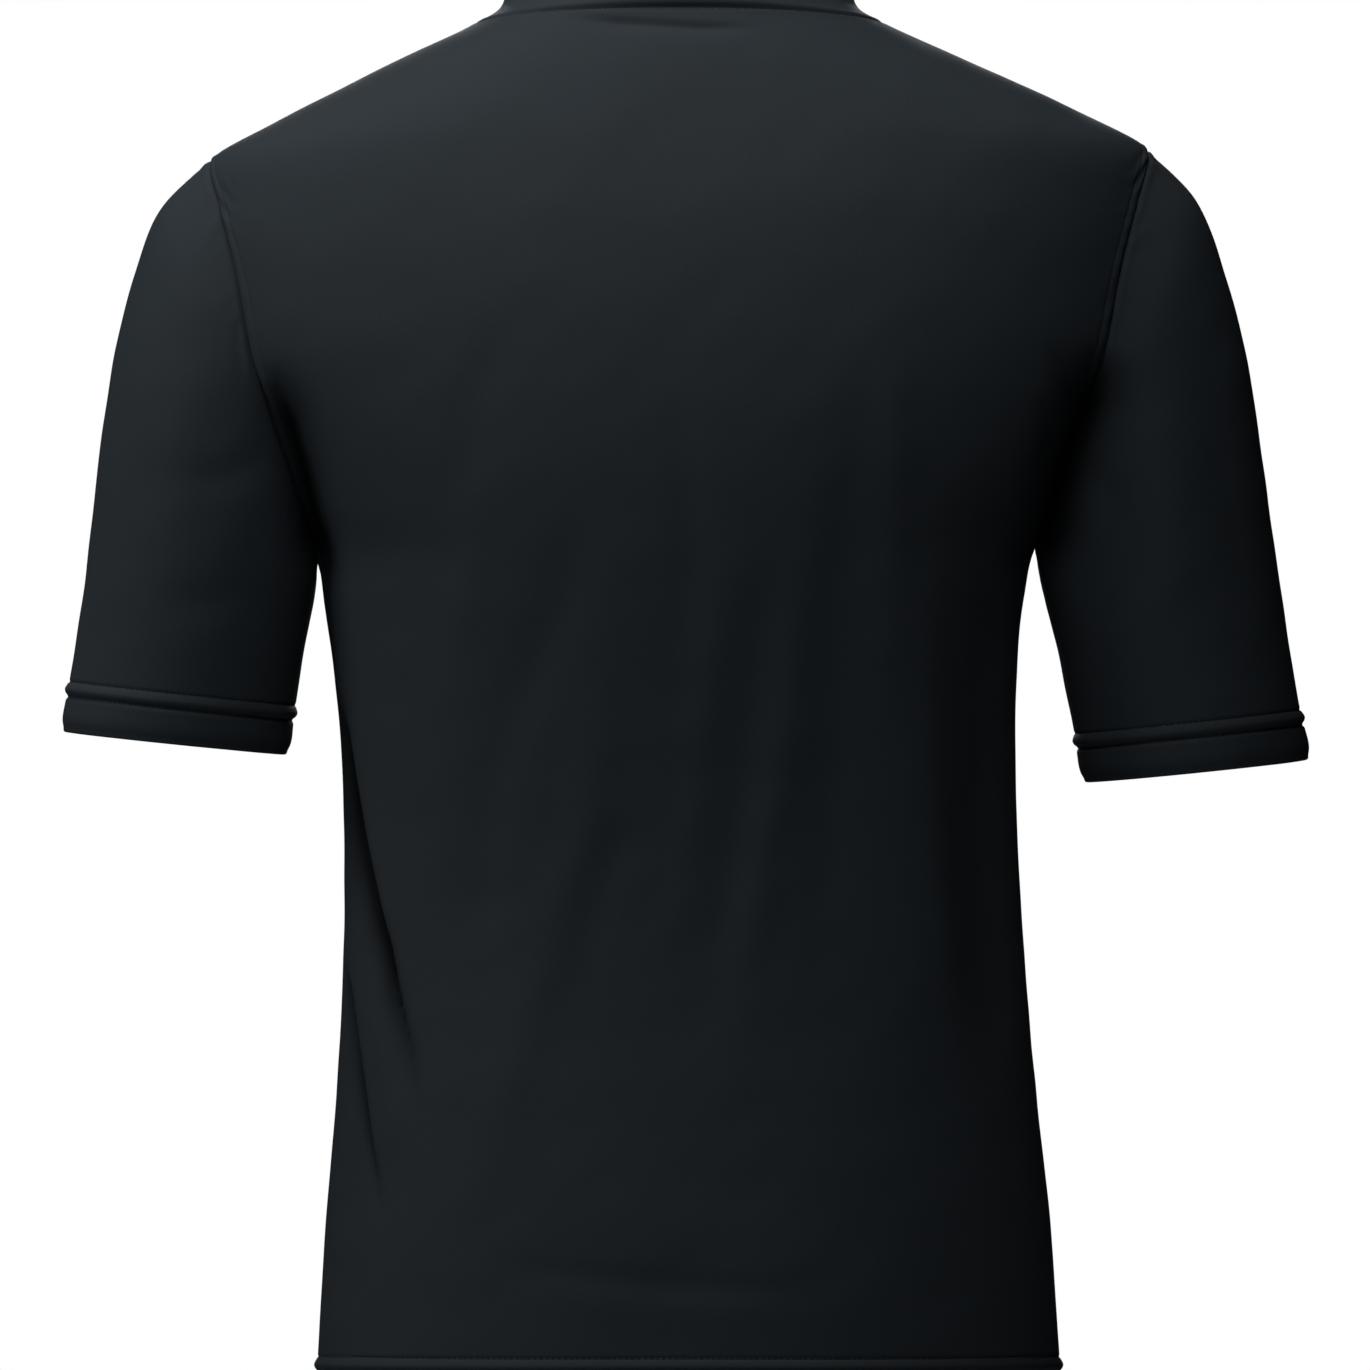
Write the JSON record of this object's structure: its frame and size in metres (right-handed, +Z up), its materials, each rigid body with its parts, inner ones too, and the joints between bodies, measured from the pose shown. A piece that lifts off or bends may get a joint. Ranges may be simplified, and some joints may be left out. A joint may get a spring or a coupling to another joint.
{
  "type": "training shirt",
  "caption": "Short-sleeved training shirt with a round neck band, empty but filled out as when worn, open at the neck, the cuffs and the hem.",
  "frame": {"origin": "middle of the neck opening, level with the neck seam at the sides of the neck, where the wearer's neck and shoulders hold the shirt up", "axes": "+X to the wearer's left, -Y to the front of the shirt and +Y to its back, +Z up"},
  "size_m": [0.651, 0.2543, 0.7426],
  "materials": {
    "jersey": "matte blue-black polyester interlock knit with a faint soft sheen",
    "neck_band": "the same knit folded double, matte"
  },
  "bodies": {
    "root": {"back": "jersey", "front": "jersey", "sleeve_left": "jersey", "sleeve_right": "jersey", "collar": "neck_band"}
  },
  "joints": []
}
